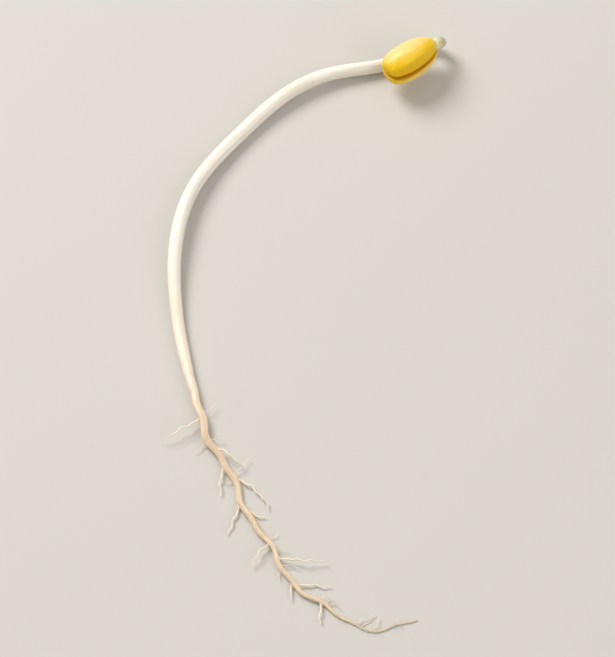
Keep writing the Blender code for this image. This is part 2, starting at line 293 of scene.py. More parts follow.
def around(count):
    """The angles of a ring's points, evenly spaced."""
    return np.arange(count) * 2.0 * np.pi / count


def rounded_end(distance, length):
    """Radius share of an end rounded as an ellipse: sqrt(1 - (1 - distance / length)^2)."""
    return np.sqrt(1.0 - (1.0 - np.clip(distance / length, 0.0, 1.0)) ** 2)


def rounded_ends(s, lengths):
    """Radius share of a tube whose first and last ends are rounded over these lengths."""
    return rounded_end(s - s[0], lengths[0]) * rounded_end(s[-1] - s, lengths[1])


def swept(centres, reference, radii, angle):
    """Tube surface: centre + radius (cos(angle) side + sin(angle) up).

    Side is the reference direction with its part along the path taken out, and up is
    square to both. Radii are (n, m), or (n, 1) where the rings are round.
    """
    ahead = unit(np.gradient(centres, axis=0))
    reference = np.broadcast_to(reference, centres.shape)
    side = unit(reference - ahead * np.sum(reference * ahead, axis=1, keepdims=True))
    up = np.cross(side, ahead)
    ring = np.cos(angle)[None, :, None] * side[:, None] + np.sin(angle)[None, :, None] * up[:, None]
    return centres[:, None] + radii[:, :, None] * ring


def on_floor(grid):
    """Nothing dips below the floor: z becomes (z + sqrt(z^2 + softness^2)) / 2."""
    z = grid[..., 2]
    grid[..., 2] = (z + np.sqrt(z**2 + FLOOR_SOFTNESS**2)) / 2.0
    return grid


def unrolled(s, radius, angle):
    """Pattern coordinates of a tube laid out straight: distance along it, then the ring's two."""
    radius = np.broadcast_to(radius, s.shape)
    x = np.broadcast_to(s[:, None], (len(s), len(angle)))
    return np.stack([x, radius[:, None] * np.cos(angle), radius[:, None] * np.sin(angle)], axis=2)


def ridges(draw, s, angle, counts, pace):
    """Lengthwise ridges of height about 1 that wander round the tube.

    The sum over the counts k of size cos(k angle + phase + 1.5 sin(s / pace + turn)), with
    size = 0.65 + 0.35 sin(s / pace + swell), scaled by sqrt(2 / number of counts) / 1.4. Each
    count draws its own phase, turn, swell and paces.
    """
    total = np.zeros((len(s), len(angle)))
    for k in counts:
        phase, turn, swell = draw.uniform(0.0, 2.0 * np.pi, 3)
        wander = phase + 1.5 * np.sin(s / (pace * draw.uniform(0.7, 1.4)) + turn)
        size = 0.65 + 0.35 * np.sin(s / (pace * draw.uniform(0.3, 0.8)) + swell)
        total += size[:, None] * np.cos(k * angle + wander[:, None])
    return total * math.sqrt(2.0 / len(counts)) / 1.4


def swellings(draw, s, angle, radius, places, sizes):
    """Low round swellings at drawn places: the sum of strength exp(-(distance / size)^2).

    The distance is in millimetres, along the unrolled skin and across it.
    """
    station = draw.uniform(s[0], s[-1], places)
    turn = draw.uniform(0.0, 2.0 * np.pi, places)
    size = draw.uniform(*sizes, places)
    strength = draw.uniform(0.4, 1.0, places)
    along = (s[:, None, None] - station) / size
    apart = (angle[:, None] - turn + np.pi) % (2.0 * np.pi) - np.pi
    across = apart * radius[:, None, None] / size
    return np.sum(strength * np.exp(-(along**2) - across**2), axis=2)


def slow_waves(draw, s, lengths):
    """The mean over the lengths of sin(2 pi s / length + phase)."""
    phases = draw.uniform(0.0, 2.0 * np.pi, len(lengths))
    waves = [np.sin(2.0 * np.pi * s / length + phase) for length, phase in zip(lengths, phases)]
    return np.mean(waves, axis=0)


def fine_relief(draw, s, angle, radius, ridge, counts, pace, swelling, places, sizes):
    """Ridges and round swellings of these heights, in millimetres."""
    height = ridge * ridges(draw, s, angle, counts, pace)
    return height + swelling * swellings(draw, s, angle, radius, places, sizes)


def closed(grid, skin):
    """Points, pattern coordinates, quads and triangles of a grid that is closed at both ends.

    The grid is (n, m, 3). Its rows are joined by quads, the last column to the first, and
    each end row is closed by a fan to its middle, or to the point that it has shrunk to.
    Faces are turned outwards where the signed volume is negative.
    """
    poles, pole_skins = grid[[0, -1]].mean(axis=1), skin[[0, -1]].mean(axis=1)
    wide = np.ptp(grid, axis=1).max(axis=1) > POINT_SIZE
    grid, skin = grid[wide], skin[wide]
    n, m = grid.shape[:2]
    points = np.concatenate([grid.reshape(-1, 3), poles])
    pattern = np.concatenate([skin.reshape(-1, 3), pole_skins])
    index = np.arange(n * m).reshape(n, m)
    right = np.roll(index, -1, axis=1)
    quads = np.stack([index[:-1], right[:-1], right[1:], index[1:]], axis=2).reshape(-1, 4)
    first = np.stack([right[0], index[0], np.full(m, n * m)], axis=1)
    last = np.stack([index[-1], right[-1], np.full(m, n * m + 1)], axis=1)
    fans = np.concatenate([first, last])
    corners = np.concatenate([quads[:, [0, 1, 2]], quads[:, [0, 2, 3]], fans])
    a, b, c = points[corners].transpose(1, 0, 2)
    if np.sum(a * np.cross(b, c)) < 0.0:
        quads, fans = quads[:, ::-1], fans[:, ::-1]
    return points, pattern, quads, fans


def placed(name, data):
    """A new object in the scene that holds the data."""
    made = bpy.data.objects.new(name, data)
    bpy.context.scene.collection.objects.link(made)
    return made


def piece(name, grids, skins, look, shift):
    """One mesh of closed grids, smooth shaded, that rides on the root body.

    The skins are the grids' pattern coordinates, and the shift slides the piece level.
    """
    places, patterns, quads, fans = [], [], [], []
    offset = 0
    for grid, skin in zip(grids, skins):
        points, pattern, some_quads, some_fans = closed(grid, skin)
        places.append(points)
        patterns.append(pattern)
        quads.append(some_quads + offset)
        fans.append(some_fans + offset)
        offset += len(points)
    points = (np.concatenate(places) + np.array([*shift, 0.0])) * MM
    faces = np.concatenate(quads).tolist() + np.concatenate(fans).tolist()
    mesh = bpy.data.meshes.new(name)
    mesh.from_pydata(points.tolist(), [], faces)
    skin = mesh.attributes.new("skin", "FLOAT_VECTOR", "POINT")
    skin.data.foreach_set("vector", np.concatenate(patterns).astype(np.float32).ravel())
    mesh.shade_smooth()
    mesh.update()
    mesh.materials.append(look)
    made = placed(name, mesh)
    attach(made, "root")
    return made


class Number:
    """A number in a finish: working with it adds the Math nodes that work it out."""

    def __init__(self, look, socket):
        self.look = look
        self.socket = socket

    def _with(self, operation, *values):
        return self.look.node("ShaderNodeMath", {"operation": operation}, dict(enumerate(values)))

    def __add__(self, other):
        return self._with("ADD", self, other)

    def __sub__(self, other):
        return self._with("SUBTRACT", self, other)

    def __rsub__(self, other):
        return self._with("SUBTRACT", other, self)

    def __mul__(self, other):
        return self._with("MULTIPLY", self, other)

    def __abs__(self):
        return self._with("ABSOLUTE", self)

    __radd__ = __add__
    __rmul__ = __mul__


class Finish:
    """A material whose nodes are added one by one to its Principled shader."""

    def __init__(self, name, constants):
        self.material = bpy.data.materials.new(name)
        self.material.use_nodes = True
        self.tree = self.material.node_tree
        self.shader = self.tree.nodes["Principled BSDF"]
        self.skin = self.node("ShaderNodeAttribute", {"attribute_name": "skin"}, {}, "Vector")
        self.feed(self.shader, constants)

    def feed(self, node, sockets):
        """Links worked out values to a node's sockets, and sets plain ones."""
        for name, value in sockets.items():
            if isinstance(value, Number):
                self.tree.links.new(value.socket, node.inputs[name])
            else:
                node.inputs[name].default_value = value

    def node(self, kind, settings, sockets, output=0):
        """A node with its settings made first, then its sockets, and one of its outputs."""
        made = self.tree.nodes.new(kind)
        for name, value in settings.items():
            setattr(made, name, value)
        self.feed(made, sockets)
        return Number(self, made.outputs[output])

    def part(self, axis):
        """One of the skin's coordinates, by its axis: X, Y or Z."""
        return self.node("ShaderNodeSeparateXYZ", {}, {"Vector": self.skin}, axis)

    def texture(self, kind, output, factors, sockets):
        """A texture on the skin's coordinates, which are multiplied by the factors first."""
        place = self.node("ShaderNodeVectorMath", {"operation": "MULTIPLY"}, {0: self.skin, 1: factors})
        return self.node(kind, {}, {"Vector": place, "Scale": 1.0, **sockets}, output)

    def noise(self, factors, detail=2.0, roughness=0.5, warp=0.0):
        """Noise from 0 to 1."""
        sockets = {"Detail": detail, "Roughness": roughness, "Distortion": warp}
        return self.texture("ShaderNodeTexNoise", "Fac", factors, sockets)

    def cells(self, factors):
        """Distance to the nearest cell's middle."""
        return self.texture("ShaderNodeTexVoronoi", "Distance", factors, {})

    def step(self, value, low, high):
        """0 below low, 1 above high and smooth between. It falls instead if low is above high."""
        ends = {"Value": value, "From Min": low, "From Max": high}
        if low > high:
            ends = {"Value": value, "From Min": high, "From Max": low, "To Min": 1.0, "To Max": 0.0}
        return self.node("ShaderNodeMapRange", {"interpolation_type": "SMOOTHSTEP"}, ends)

    def mix(self, share, first, second):
        """The first colour, with a share of the second."""
        first, second = (c if isinstance(c, Number) else (*c, 1.0) for c in (first, second))
        return self.node("ShaderNodeMix", {"data_type": "RGBA"}, {0: share, 6: first, 7: second}, 2)

    def joined(self, colour, roughness, height, depth, coat=0.0):
        """The material, with colour, roughness, coat and height (in depth millimetres) joined up."""
        relief = {"Strength": 1.0, "Distance": depth * MM, "Height": height}
        bump = self.node("ShaderNodeBump", {}, relief)
        sockets = {"Base Color": colour, "Roughness": roughness, "Normal": bump, "Coat Weight": coat}
        self.feed(self.shader, sockets)
        return self.material


# Colours of the skin along the route, as linear red, green and blue.
SKIN_WHITE = (0.92, 0.875, 0.80)
SKIN_CREAM = (0.88, 0.77, 0.61)
SKIN_CLEAR = (0.78, 0.73, 0.62)
SKIN_GREEN = (0.78, 0.80, 0.44)
# Painted shade: the dull dark colour of the patch on the hook's bend.
SKIN_HOOK_SHADE = (0.42, 0.31, 0.11)
SKIN_TAN = (0.83, 0.67, 0.49)
SKIN_DARK_TAN = (0.58, 0.40, 0.24)
SKIN_GREY = (0.62, 0.56, 0.47)
SKIN_FLECK = (0.55, 0.38, 0.2)
# Distances from the hook at which a colour starts and is all there.
CREAM_ZONE = (62.0, 100.0)
TAN_ZONE = (88.0, 104.0)
GREY_ZONE = (128.0, 146.0)
GREEN_ZONE = (9.0, -2.0)
BARE_ZONE = (STEM_LENGTH, STEM_LENGTH + 9.0)
# Painted shade on the bend of the hook, a dull dark patch: its middle, and how far to
# each side it fades.
HOOK_SHADE_MIDDLE = -4.0
HOOK_SHADE_ZONE = (2.4, 0.2)
MOIST_SKIN = {
    "Subsurface Weight": 0.55,
    "Subsurface Radius": (1.0, 0.9, 0.74),
    "Subsurface Scale": 0.7 * MM,
    "IOR": 1.38,
    "Coat Roughness": 0.16,
}


def skin_colour(look):
    """Colour by the distance s along the sprout, and the streaks and clouds that it is made with.

    A green tinge at the hook, with a dark patch of painted shade on its bend, then white, cream
    and tan, with lengthwise streaks and a few flecks. It is the same on stem and root, so that
    they meet without a line.
    """
    s = look.part("X")
    streak = look.noise((0.09, 2.6, 2.6), detail=3.0)
    cloud = look.noise((0.22, 0.35, 0.35), detail=2.0)
    fleck = look.noise((1.3, 2.2, 2.2), detail=1.0)
    patch = look.noise((0.5, 0.9, 0.9))
    colour = look.mix(look.step(cloud, 0.42, 0.75) * 0.45, SKIN_WHITE, SKIN_CREAM)
    colour = look.mix(look.step(streak, 0.46, 0.7) * 0.7, colour, SKIN_CLEAR)
    colour = look.mix(look.step(s + cloud * 16.0, *CREAM_ZONE) * 0.85, colour, SKIN_CREAM)
    root_share = look.step(s + streak * 14.0, *TAN_ZONE)
    colour = look.mix(root_share, colour, SKIN_TAN)
    colour = look.mix(root_share * look.step(streak, 0.45, 0.7) * 0.5, colour, SKIN_DARK_TAN)
    colour = look.mix(look.step(s, *GREY_ZONE) * 0.55, colour, SKIN_GREY)
    colour = look.mix(look.step(s + cloud * 6.0, *GREEN_ZONE) * 0.55, colour, SKIN_GREEN)
    # Painted shade: a dark patch on the hook's bend.
    hook = look.step(abs(s - HOOK_SHADE_MIDDLE), *HOOK_SHADE_ZONE) * look.step(patch, 0.1, 0.6)
    colour = look.mix(hook * 0.85, colour, SKIN_HOOK_SHADE)
    return look.mix(look.step(fleck, 0.73, 0.8) * 0.4, colour, SKIN_FLECK), streak, cloud


def moist(streak, cloud):
    """Roughness and coat of the stem's skin, which is wet in patches."""
    return 0.3 + cloud * 0.22, 0.15 + streak * 0.3


def stem_finish():
    """Moist white skin, with fine lengthwise streaks and long cells in the bump."""
    look = Finish("stem", MOIST_SKIN)
    colour, streak, cloud = skin_colour(look)
    roughness, coat = moist(streak, cloud)
    fine = look.noise((0.5, 9.0, 9.0), detail=2.0)
    cell = look.cells((3.0, 16.0, 16.0))
    height = streak * 0.6 + fine * 0.3 + cell * 0.12
    return look.joined(colour, roughness, height, 0.08, coat)


def root_finish():
    """Duller tan skin: coarser streaks and a wrinkled bump, which come in past the collar."""
    look = Finish("root", {**MOIST_SKIN, "Subsurface Weight": 0.5})
    colour, streak, cloud = skin_colour(look)
    moist_roughness, moist_coat = moist(streak, cloud)
    bare = look.step(look.part("X"), *BARE_ZONE)
    stem_like = 1.0 - bare
    fine = look.noise((1.2, 8.0, 8.0), detail=4.0, roughness=0.6)
    wrinkle = look.noise((3.0, 3.0, 3.0), detail=3.0)
    colour = look.mix(look.step(fine, 0.52, 0.72) * bare * 0.3, colour, SKIN_DARK_TAN)
    roughness = stem_like * moist_roughness + bare * (0.42 + fine * 0.3)
    height = (streak * 0.5 + fine * 0.7 + wrinkle * 0.5) * (0.2 + bare * 0.8)
    coat = stem_like * moist_coat + bare * cloud * 0.15
    return look.joined(colour, roughness, height, 0.13, coat)


def rootlet_finish():
    """Thin pale rootlets, tan where they leave the root, with greyer streaks."""
    look = Finish("rootlet", {**MOIST_SKIN, "Subsurface Weight": 0.4})
    distance = look.part("X")
    streak = look.noise((0.8, 6.0, 6.0), detail=3.0)
    colour = look.mix(look.step(distance, 0.0, 2.5), SKIN_TAN, SKIN_CREAM)
    colour = look.mix(look.step(streak, 0.45, 0.7) * 0.5, colour, SKIN_GREY)
    return look.joined(colour, 0.4 + streak * 0.25, streak, 0.05)


BEAN_YELLOW = (0.87, 0.57, 0.006)
BEAN_PALE = (0.93, 0.70, 0.07)
# Painted highlight: the pale cream on the seed leaf's crown.
BEAN_HIGHLIGHT_CREAM = (0.95, 0.70, 0.32)
BEAN_OLIVE = (0.72, 0.52, 0.012)
# Painted shade: orange along the rim, a darker inner face, and gold towards the seam.
BEAN_RIM_SHADE = (0.60, 0.26, 0.002)
BEAN_INSIDE_SHADE = (0.72, 0.40, 0.01)
BEAN_SHADE_GOLD = (0.80, 0.47, 0.003)
BEAN_SPECK = (0.34, 0.2, 0.05)
# How much a place across the leaf counts as height, so that the painted highlight on the
# crown leans to the leaf's lit side.
BEAN_LIT_SIDE_TILT = -0.45
MOIST_BEAN = {
    "Subsurface Weight": 0.35,
    "Subsurface Radius": (1.0, 0.6, 0.1),
    "Subsurface Scale": 0.6 * MM,
    "IOR": 1.45,
    "Specular IOR Level": 0.25,
    "Coat Roughness": 0.4,
    "Coat IOR": 1.6,
}


def bean_finish():
    """Satin yellow with lengthwise bands, a painted highlight in cream at the crown, and painted
    shade in gold towards the seam and in orange at the rim.

    The skin's coordinates are the leaf's own: X along it, Y across and Z out of the seam.
    The inner face is darker with painted shade, for the crease between the leaves, and the
    base has a green tinge.
    """
    look = Finish("seed_leaf", MOIST_BEAN)
    x = look.part("X")
    z = look.part("Z")
    # Height out of the seam, tilted across the leaf towards its lit side: it places the painted
    # highlight and painted shade.
    crown = z + look.part("Y") * BEAN_LIT_SIDE_TILT
    band = look.noise((0.12, 1.1, 1.1), detail=3.0, warp=0.4)
    mottle = look.noise((0.9, 1.6, 1.6), detail=4.0)
    speck = look.noise((3.4, 3.4, 3.4), detail=0.0)
    grain = look.noise((5.0, 9.0, 9.0), detail=3.0)
    pit = look.cells((3.2, 4.2, 4.2))
    colour = look.mix(look.step(band, 0.4, 0.68) * 0.6, BEAN_YELLOW, BEAN_PALE)
    # Painted highlight: cream on the crown's lit side.
    colour = look.mix(look.step(crown + band, 1.9, 3.8) * 0.8, colour, BEAN_HIGHLIGHT_CREAM)
    # Painted shade: gold towards the seam, on the side away from the light.
    colour = look.mix(look.step(crown + band, 2.2, 0.6) * 0.6, colour, BEAN_SHADE_GOLD)
    colour = look.mix(look.step(mottle, 0.5, 0.72) * 0.3, colour, BEAN_OLIVE)
    # Painted shade: orange along the rim by the crease.
    rim = look.step(z + mottle * 0.3, 0.8, 0.35) * look.step(x, 9.9, 8.2)
    colour = look.mix(rim * 0.85, colour, BEAN_RIM_SHADE)
    # Painted shade: the inner face darker, inside the crease.
    colour = look.mix(look.step(z, 0.24, 0.14), colour, BEAN_INSIDE_SHADE)
    colour = look.mix(look.step(x, 1.5, 0.2) * 0.4, colour, SKIN_GREEN)
    colour = look.mix(look.step(speck, 0.8, 0.86) * 0.35, colour, BEAN_SPECK)
    height = band * 0.5 + grain * 0.25 + look.step(pit, 0.0, 0.35) * 0.25
    return look.joined(colour, 0.38 + mottle * 0.2, height, 0.04, look.step(crown, 0.8, 3.2) * 0.5)


BUD_GREEN = (0.62, 0.68, 0.16)
BUD_PALE = (0.78, 0.80, 0.34)
BUD_VEIN = (0.84, 0.84, 0.5)
# Slope of ribs and veins, the ribs' spacing and the veins' angle a millimetre.
BUD_RIB_SLOPE = 0.9
BUD_RIB_SPACING = 0.29
BUD_VEIN_RATE = 22.0


def bud_finish():
    """Pale yellow-green, with paler veins that follow the leaf's own ribs."""
    look = Finish("bud", {**MOIST_SKIN, "Subsurface Weight": 0.5})
    x = look.part("X")
    y = look.part("Y")
    mottle = look.noise((4.0, 4.0, 4.0), detail=3.0)
    phase = (x - abs(y) * BUD_RIB_SLOPE) * BUD_VEIN_RATE
    wave = look.node("ShaderNodeMath", {"operation": "SINE"}, {0: phase})
    vein = look.step(wave + mottle, 1.0, 1.5)
    colour = look.mix(mottle, BUD_GREEN, BUD_PALE)
    colour = look.mix(vein * 0.6, colour, BUD_VEIN)
    return look.joined(colour, 0.45 + mottle * 0.2, mottle + vein * 0.4, 0.02)


# The stem's own relief. Oval and waves are shares of the radius.
STEM_ROWS = 660
STEM_SIDES = 96
STEM_SEED = 11
STEM_OVAL = 0.02
STEM_OVAL_DRIFT = 30.0
STEM_OVAL_START = 0.6
STEM_WAVE = 0.012
STEM_WAVE_LENGTHS = (37.0, 19.0, 11.0)
STEM_RELIEF = dict(
    ridge=0.018, counts=(5, 8, 11, 14, 17, 20), pace=14.0,
    swelling=0.022, places=46, sizes=(0.35, 0.9),
)
# Where the relief starts from each end, and the length over which it fades in.
NECK_FADE = (1.0, 3.0)
COLLAR_FADE = (0.6, 5.0)
# Lengths over which the stem is rounded off in the bean's socket and at the collar.
STEM_ENDS = (0.5, 0.06)
# Creases on the inner side of the hook, with their middle as a share of the hook's length.
CREASE_DEPTH = 0.02
CREASE_SPACING = 0.42
CREASE_MIDDLE = 0.45
CREASE_REACH = 2.2
CREASE_SIDE = np.pi * 1.5
# The neck swells by this much where it enters the bean.
NECK_SWELL = 0.13
NECK_SWELL_REACH = 0.45
# The stem's rings turn from the hook's own normal to level over this length.
LEVELLING = 12.0


def laid_radii(s):
    """Plain radius of the laid stem, which tucks in at the collar, to just under the root's skin."""
    tuck = faded(s, STEM_LENGTH - COLLAR_LENGTH, COLLAR_LENGTH)
    return eased(STEM_RADII, s) * (1.0 - COLLAR_TUCK * tuck)


def stem_radii(s, hook_length):
    """Plain radius of the stem: it widens from the neck over the hook, then follows its table."""
    in_hook = NECK_RADIUS + (STEM_RADII[0][1] - NECK_RADIUS) * smoothstep(1.0 + s / hook_length)
    return np.where(s < 0.0, in_hook, laid_radii(np.maximum(s, 0.0)))


def averaged(path, reach=8):
    """Each point of a path averaged with its neighbours within reach, by a raised cosine.

    Past its ends the path is carried on by its own mirror image, so that the ends stay.
    """
    ahead = 2.0 * path[-1] - path[-2 : -reach - 2 : -1]
    behind = 2.0 * path[0] - path[reach:0:-1]
    padded = np.concatenate([behind, path, ahead])
    window = np.hanning(2 * reach + 3)[1:-1]
    window /= window.sum()
    return np.stack([np.convolve(column, window, "valid") for column in padded.T], axis=1)


def stem_path(route, count):
    """The stem's centre line from the neck's end to the collar, and distances from the hook.

    The neck runs straight out of the bean. The hook is half an ellipse, with the angle
    from pi to 0: start + reach sin(angle) heading + rise (1 - cos(angle)) lean. The rest is
    laid along the route, and averaging rounds the two joints.
    """
    start, heading, lean = hook_frame(route)
    angle = np.linspace(math.pi, 0.0, 120)[:, None]
    turn = start + HOOK_REACH * np.sin(angle) * heading + HOOK_RISE * (1.0 - np.cos(angle)) * lean
    neck = turn[0] + np.outer(np.linspace(NECK_LENGTH, 0.0, 20)[:-1], BEAN_ALONG)
    s = np.linspace(0.0, STEM_LENGTH, 900)[1:]
    line = np.concatenate([neck, turn, laid(route, s, laid_radii(s))])
    distances = travelled(line)
    hook_length = distances[len(neck) + len(turn) - 1]
    even = np.arange(0.0, distances[-1], PATH_STEP)
    smooth = averaged(read_off(line, distances, even))
    stations = spread(0.0, even[-1], count)
    return read_off(smooth, even, stations), stations - hook_length, hook_length


def stem_reference(route, s):
    """What the stem's rings are set out from: the hook's own normal, then level."""
    _, heading, lean = hook_frame(route)
    sideways = level_side(route.at(np.maximum(s, 0.0))[1])
    normal = np.cross(heading, lean)
    share = smoothstep(s / LEVELLING)[:, None]
    return unit(normal * (1.0 - share) + sideways * share)


def stem_surface(route):
    """The stem's grid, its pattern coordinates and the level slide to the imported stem's place.

    Radius = plain radius (1 + fade (oval + slow waves)) + fade relief - creases + swell. The
    oval is 0.02 cos(2 (angle - turn)), and its turn drifts along the stem. The fade is 1 but
    for the neck and the collar, where the root takes over. The creases are fine rings,
    0.5 + 0.5 cos(2 pi s / spacing), on the inner side of the hook, and the swell is a bell
    where the neck enters the bean.
    """
    draw = np.random.default_rng(STEM_SEED)
    centres, s, hook_length = stem_path(route, STEM_ROWS)
    angle = around(STEM_SIDES)
    reference = stem_reference(route, s)
    plain = stem_radii(s, hook_length)
    tube = swept(centres, reference, plain[:, None], angle)
    low, high = (np.array(corner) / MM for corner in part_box("hypocotyl"))
    shift = ((low + high) / 2.0 - (tube.min(axis=(0, 1)) + tube.max(axis=(0, 1))) / 2.0)[:2]

    fade = (faded(s + hook_length, *NECK_FADE) * faded(s[-1] - s, *COLLAR_FADE))[:, None]
    oval = STEM_OVAL * np.cos(2.0 * (angle - s[:, None] / STEM_OVAL_DRIFT - STEM_OVAL_START))
    slow = STEM_WAVE * slow_waves(draw, s, STEM_WAVE_LENGTHS)[:, None]
    relief = fine_relief(draw, s, angle, plain, **STEM_RELIEF)
    inner = faded(np.cos(angle - CREASE_SIDE), 0.1, 0.9)
    rings = 0.5 + 0.5 * np.cos(2.0 * np.pi * s / CREASE_SPACING)
    creased = bell(s + hook_length * CREASE_MIDDLE, CREASE_REACH) * rings
    swell = NECK_SWELL * bell(s + hook_length - NECK_LENGTH, NECK_SWELL_REACH)
    radii = plain[:, None] * (1.0 + (oval + slow) * fade) + relief * fade
    radii = radii - CREASE_DEPTH * creased[:, None] * inner + swell[:, None]
    radii = radii * rounded_ends(s, STEM_ENDS)[:, None]
    return on_floor(swept(centres, reference, radii, angle)), unrolled(s, plain, angle), shift


# The root's own relief, which is less where the root is thinner.
ROOT_ROWS = 620
ROOT_SIDES = 56
ROOT_SEED = 23
ROOT_WAVE = 0.06
ROOT_WAVE_LENGTHS = (9.0, 5.2, 3.1)
ROOT_RELIEF = dict(
    ridge=0.032, counts=(3, 4, 6, 7, 9, 11), pace=5.0,
    swelling=0.035, places=60, sizes=(0.25, 0.7),
)
ROOT_RELIEF_RADIUS = 0.7
ROOT_FADE = 4.0
ROOT_START_TAPER = 0.02
ROOT_ENDS = (0.3, 1.6)


def root_radii(route, s):
    """The bare root's radii: the solid's, and thinner by a smooth share over the last stretch."""
    share = faded(s, ROOT_THINNING_START, route.length - ROOT_THINNING_START)
    return eased(ROOT_RADII, s) * (1.0 - ROOT_TIP_THINNING * share)


def root_surface(route):
    """The root's grid and pattern coordinates.

    Radius = plain radius (1 + fade slow waves) + fade relief plain radius / 0.7, with a fade
    that rises from 0 at the collar. It starts just under the skin of
    the stem's collar.
    """
    draw = np.random.default_rng(ROOT_SEED)
    s = spread(STEM_LENGTH - COLLAR_LENGTH, route.length, ROOT_ROWS)
    angle = around(ROOT_SIDES)
    step_in = STEM_RADII[-1][1] - ROOT_RADII[0][1] + ROOT_START_TAPER * (STEM_LENGTH - s)
    in_collar = eased(STEM_RADII, s) - step_in
    plain = np.where(s < STEM_LENGTH, in_collar, root_radii(route, np.maximum(s, STEM_LENGTH)))
    centres = laid(route, s, plain)
    fade = faded(s, STEM_LENGTH, ROOT_FADE)[:, None]
    slow = ROOT_WAVE * slow_waves(draw, s, ROOT_WAVE_LENGTHS)[:, None]
    relief = fine_relief(draw, s, angle, plain, **ROOT_RELIEF) * (plain / ROOT_RELIEF_RADIUS)[:, None]
    radii = plain[:, None] * (1.0 + slow * fade) + relief * fade
    radii = radii * rounded_ends(s, ROOT_ENDS)[:, None]
    grid = swept(centres, level_side(route.at(s)[1]), radii, angle)
    return on_floor(grid), unrolled(s, plain, angle)


# The seed leaves' own relief.
LEAF_ROWS = 170
LEAF_SIDES = 168
LEAF_SEEDS = {"upper": 3, "lower": 7}
LEAF_RELIEF = dict(
    ridge=0.022, counts=(6, 9, 13, 19, 26), pace=4.0,
    swelling=-0.05, places=14, sizes=(0.7, 1.6),
)
# The groove that sets off the rim, at an angle from it, and the folds round the base.
GROOVE_DEPTH = 0.07
GROOVE_ANGLE = 0.3
GROOVE_WIDTH = 0.13
PUCKER_HEIGHT = 0.035
PUCKER_FOLDS = 9.0
PUCKER_PLACE = 0.9
PUCKER_REACH = 0.9
# Height of the rim's middle over the seam, the leaf's thin wall and its middling radius.
LEAF_EDGE = LEAF_GAP / 2.0 + LEAF_EDGE_RADIUS
LEAF_WALL = 0.04
LEAF_RADIUS = 2.6


def leaf_relief(draw, x, ring, half_width, angle):
    """Wrinkles, dents, folds round the base and a groove at each side of a seed leaf.

    In millimetres. They fade at the rim and at the leaf's two ends.
    """
    fine = fine_relief(draw, x[:, 0], angle, half_width[:, 0], **LEAF_RELIEF)
    pucker = PUCKER_HEIGHT * bell(x - PUCKER_PLACE, PUCKER_REACH) * np.cos(PUCKER_FOLDS * angle)
    sides = (GROOVE_ANGLE, np.pi - GROOVE_ANGLE)
    groove = -GROOVE_DEPTH * sum(bell(angle - side, GROOVE_WIDTH) for side in sides)
    crown = np.clip(np.sin(angle), 0.0, 1.0)
    relief = (fine + pucker) * smoothstep(crown / 0.5) + groove * ring
    return relief * smoothstep(ring / 0.7)


def leaf_inside(x, y, ring, cosine, outside):
    """Height of a seed leaf's inner face over the seam.

    It is edge - edge radius ring^0.4 (1 - |cos|^5)^(1/5), raised to the bud's bed, a ball,
    and to the neck's socket, a cylinder. It stays below the higher of two limits: a thin
    wall under the outside, and half way from the flat to the outside.
    """
    flat = LEAF_EDGE - LEAF_EDGE_RADIUS * ring**0.4 * (1.0 - np.abs(cosine) ** 5) ** 0.2
    ball = 1.0 - ((x - BED_CENTRE) / BED_HALF_LENGTH) ** 2 - (y / BED_HALF_WIDTH) ** 2
    bed = BED_HEIGHT * np.sqrt(np.clip(ball, 0.0, 1.0))
    socket = np.sqrt(np.clip(SOCKET_RADIUS**2 - y**2, 0.0, None))
    socket = socket * smoothstep((SOCKET_DEPTH + 0.15 - x) / 0.3)
    inside = np.maximum(flat, np.maximum(bed, socket))
    return np.minimum(inside, np.maximum(outside - LEAF_WALL, (outside + flat) / 2.0))


def seed_leaf_surface(draw):
    """One seed leaf's grid, in its own frame, which is its pattern coordinates too.

    Along = -cos(pi u), and ring = sqrt(1 - along^2) ^ bluntness. The half width is half the
    bean's width times ring (1 + taper along), and y = half width cos(angle). Outside,
    z = edge + (thickness - edge radius) ring |sin(angle)| + relief sin(angle), and y grows by
    the share relief / radius. The inner face has a height of its own.
    """
    u = spread(0.0, 1.0, LEAF_ROWS, ends=0.25)[1:-1]
    angle = around(LEAF_SIDES)
    cosine, sine = np.cos(angle), np.sin(angle)
    along = -np.cos(np.pi * u)[:, None]
    at_base, at_end = LEAF_BLUNTNESS
    ring = np.sqrt(1.0 - along**2) ** (at_base + (at_end - at_base) * (1.0 + along) / 2.0)
    half_width = BEAN_WIDTH / 2.0 * ring * (1.0 + LEAF_TAPER * along)
    x = np.broadcast_to(BEAN_LENGTH / 2.0 * (1.0 + along), (len(u), len(angle)))
    y = half_width * cosine
    relief = leaf_relief(draw, x, ring, half_width, angle)
    tall = (LEAF_THICKNESS - LEAF_EDGE_RADIUS) * ring
    outside = LEAF_EDGE + tall * np.sqrt(np.clip(1.0 - cosine**2, 0.0, 1.0))
    inside = leaf_inside(x, y, ring, cosine, outside)
    is_outside = sine >= 0.0
    z = np.where(is_outside, outside + relief * sine, inside)
    y = np.where(is_outside, y * (1.0 + relief / LEAF_RADIUS), y)
    return np.stack([x, y, z], axis=2)


# The bud's own relief.
BUD_LEAF_ROWS = 70
BUD_LEAF_SIDES = 64
BUD_RIB_HEIGHT = 0.02
BUD_MIDRIB_DEPTH = 0.05
BUD_MIDRIB_WIDTH = 0.05
BUD_STALK_ROWS = 40
BUD_STALK_SIDES = 32
# The stalk's share of the bud's length, and the lengths of its rounded ends.
BUD_STALK_SHARE = 0.5
BUD_STALK_ENDS = (0.15, 0.15)


